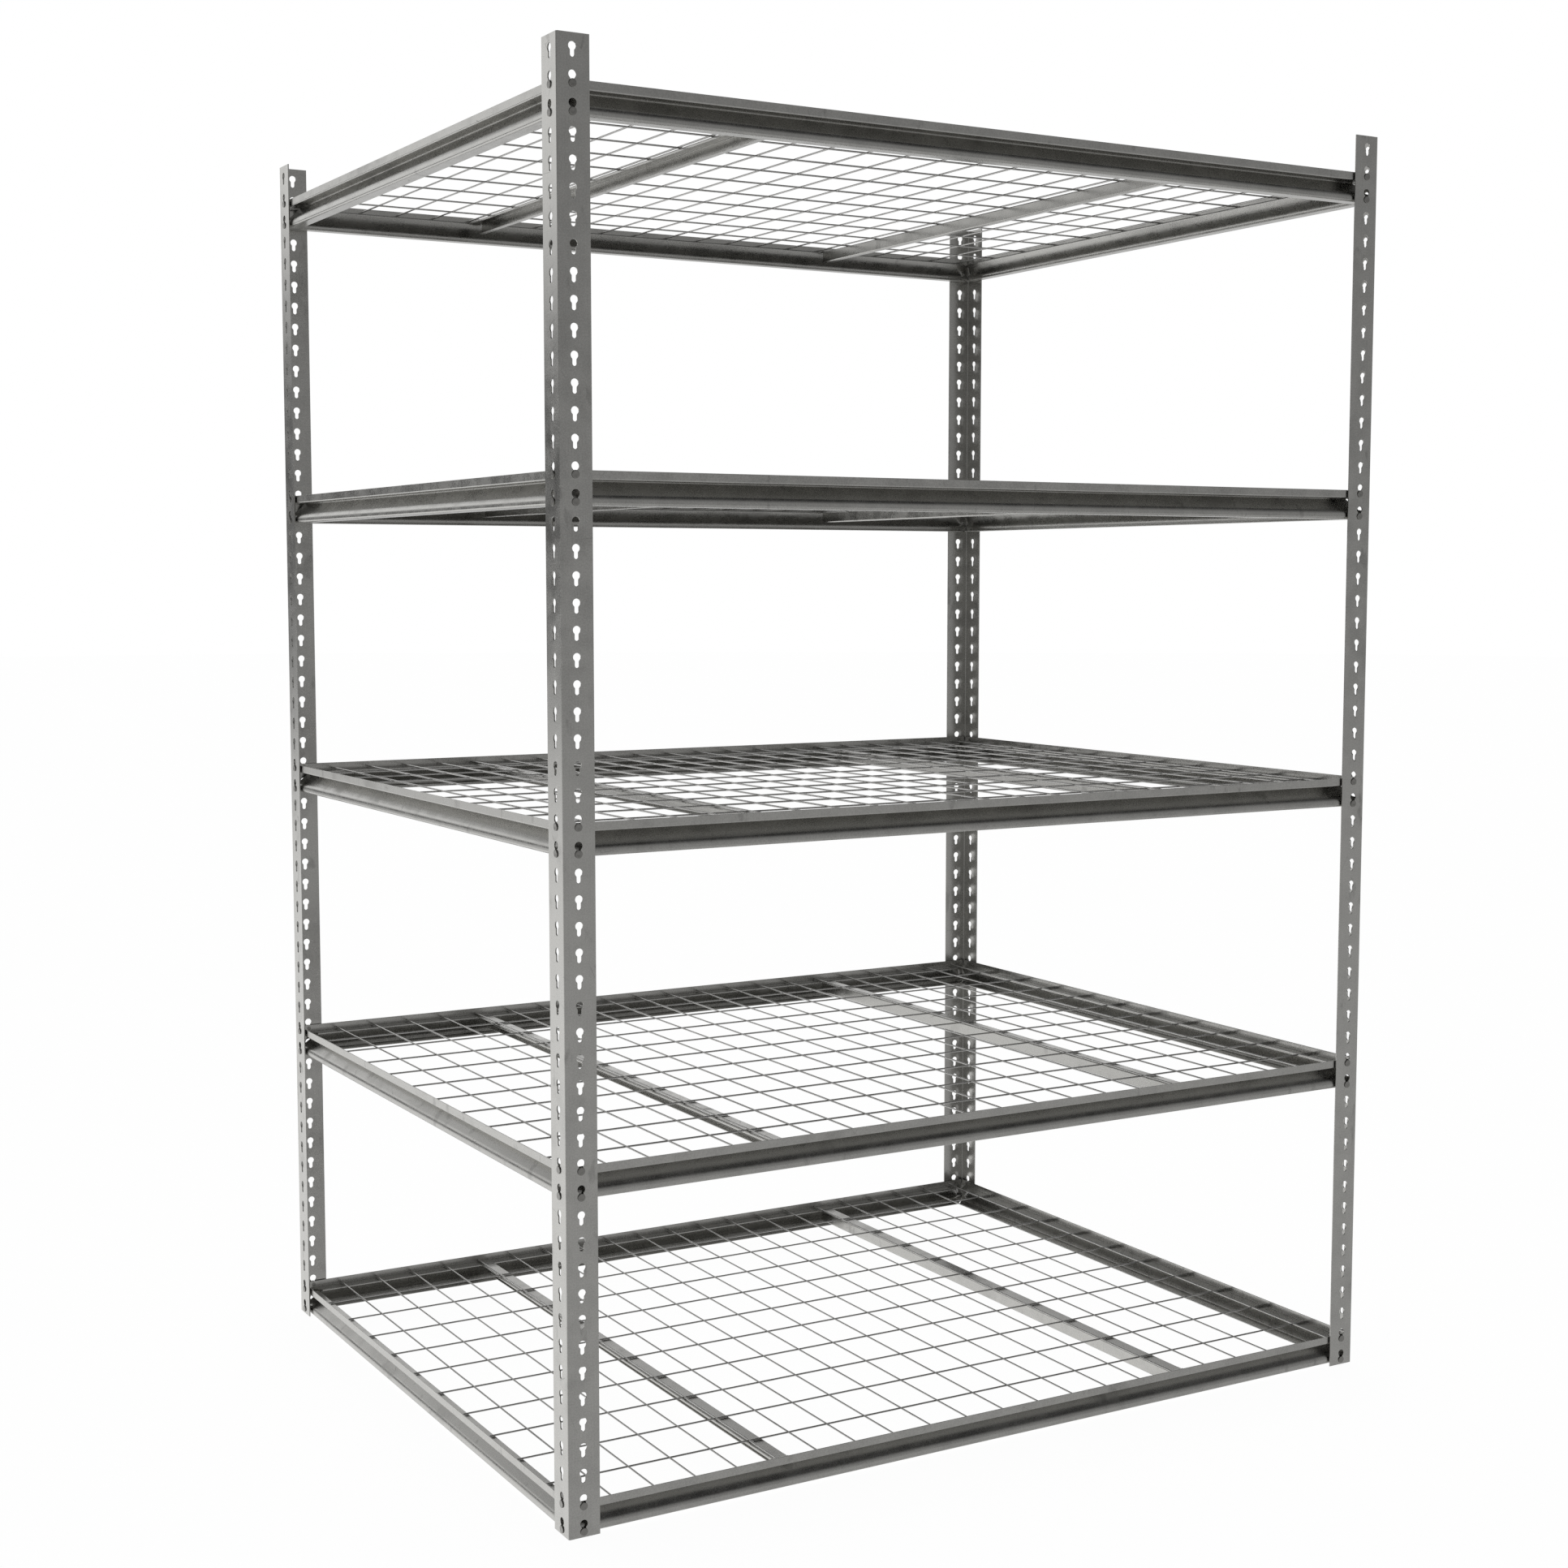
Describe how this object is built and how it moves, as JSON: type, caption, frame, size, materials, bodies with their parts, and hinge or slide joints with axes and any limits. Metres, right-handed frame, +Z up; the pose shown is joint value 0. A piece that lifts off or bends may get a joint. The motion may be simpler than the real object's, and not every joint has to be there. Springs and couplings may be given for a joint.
{
  "type": "boltless steel shelving",
  "caption": "Free-standing steel shelving: keyhole angle posts, riveted roll-formed beams that drop into them, channel supports and loose welded wire decks.",
  "frame": {"origin": "on the floor, in the middle of the four posts", "axes": "+Z up, +X to the right along the front beams, -Y is the front"},
  "size_m": [1.5274, 1.2226, 2.1336],
  "materials": {
    "post_paint": "satin grey metallic paint",
    "beam_paint": "satin grey metallic paint",
    "support_paint": "satin grey metallic paint",
    "deck_wire": "satin grey metallic paint"
  },
  "bodies": {
    "posts": {"post_front_left": "post_paint", "post_front_right": "post_paint", "post_back_left": "post_paint", "post_back_right": "post_paint"},
    "level_1": {"level_1_beam_front": "beam_paint", "level_1_beam_back": "beam_paint", "level_1_beam_left": "beam_paint", "level_1_beam_right": "beam_paint", "level_1_support_left": "support_paint", "level_1_support_right": "support_paint"},
    "deck_1": {"level_1_deck": "deck_wire"},
    "level_2": {"level_2_beam_front": "beam_paint", "level_2_beam_back": "beam_paint", "level_2_beam_left": "beam_paint", "level_2_beam_right": "beam_paint", "level_2_support_left": "support_paint", "level_2_support_right": "support_paint"},
    "deck_2": {"level_2_deck": "deck_wire"},
    "level_3": {"level_3_beam_front": "beam_paint", "level_3_beam_back": "beam_paint", "level_3_beam_left": "beam_paint", "level_3_beam_right": "beam_paint", "level_3_support_left": "support_paint", "level_3_support_right": "support_paint"},
    "deck_3": {"level_3_deck": "deck_wire"},
    "level_4": {"level_4_beam_front": "beam_paint", "level_4_beam_back": "beam_paint", "level_4_beam_left": "beam_paint", "level_4_beam_right": "beam_paint", "level_4_support_left": "support_paint", "level_4_support_right": "support_paint"},
    "deck_4": {"level_4_deck": "deck_wire"},
    "level_5": {"level_5_beam_front": "beam_paint", "level_5_beam_back": "beam_paint", "level_5_beam_left": "beam_paint", "level_5_beam_right": "beam_paint", "level_5_support_left": "support_paint", "level_5_support_right": "support_paint"},
    "deck_5": {"level_5_deck": "deck_wire"}
  },
  "joints": [
    {"name": "level_1_lift", "type": "slide", "parent": "posts", "child": "level_1", "axis": [0, 0, 1], "range_m": [0, 0.0117]},
    {"name": "deck_1_lift", "type": "slide", "parent": "level_1", "child": "deck_1", "axis": [0, 0, 1], "range_m": [0, 0.4]},
    {"name": "level_2_lift", "type": "slide", "parent": "posts", "child": "level_2", "axis": [0, 0, 1], "range_m": [0, 0.0117]},
    {"name": "deck_2_lift", "type": "slide", "parent": "level_2", "child": "deck_2", "axis": [0, 0, 1], "range_m": [0, 0.4]},
    {"name": "level_3_lift", "type": "slide", "parent": "posts", "child": "level_3", "axis": [0, 0, 1], "range_m": [0, 0.0117]},
    {"name": "deck_3_lift", "type": "slide", "parent": "level_3", "child": "deck_3", "axis": [0, 0, 1], "range_m": [0, 0.4]},
    {"name": "level_4_lift", "type": "slide", "parent": "posts", "child": "level_4", "axis": [0, 0, 1], "range_m": [0, 0.0117]},
    {"name": "deck_4_lift", "type": "slide", "parent": "level_4", "child": "deck_4", "axis": [0, 0, 1], "range_m": [0, 0.4]},
    {"name": "level_5_lift", "type": "slide", "parent": "posts", "child": "level_5", "axis": [0, 0, 1], "range_m": [0, 0.0117]},
    {"name": "deck_5_lift", "type": "slide", "parent": "level_5", "child": "deck_5", "axis": [0, 0, 1], "range_m": [0, 0.4]}
  ]
}
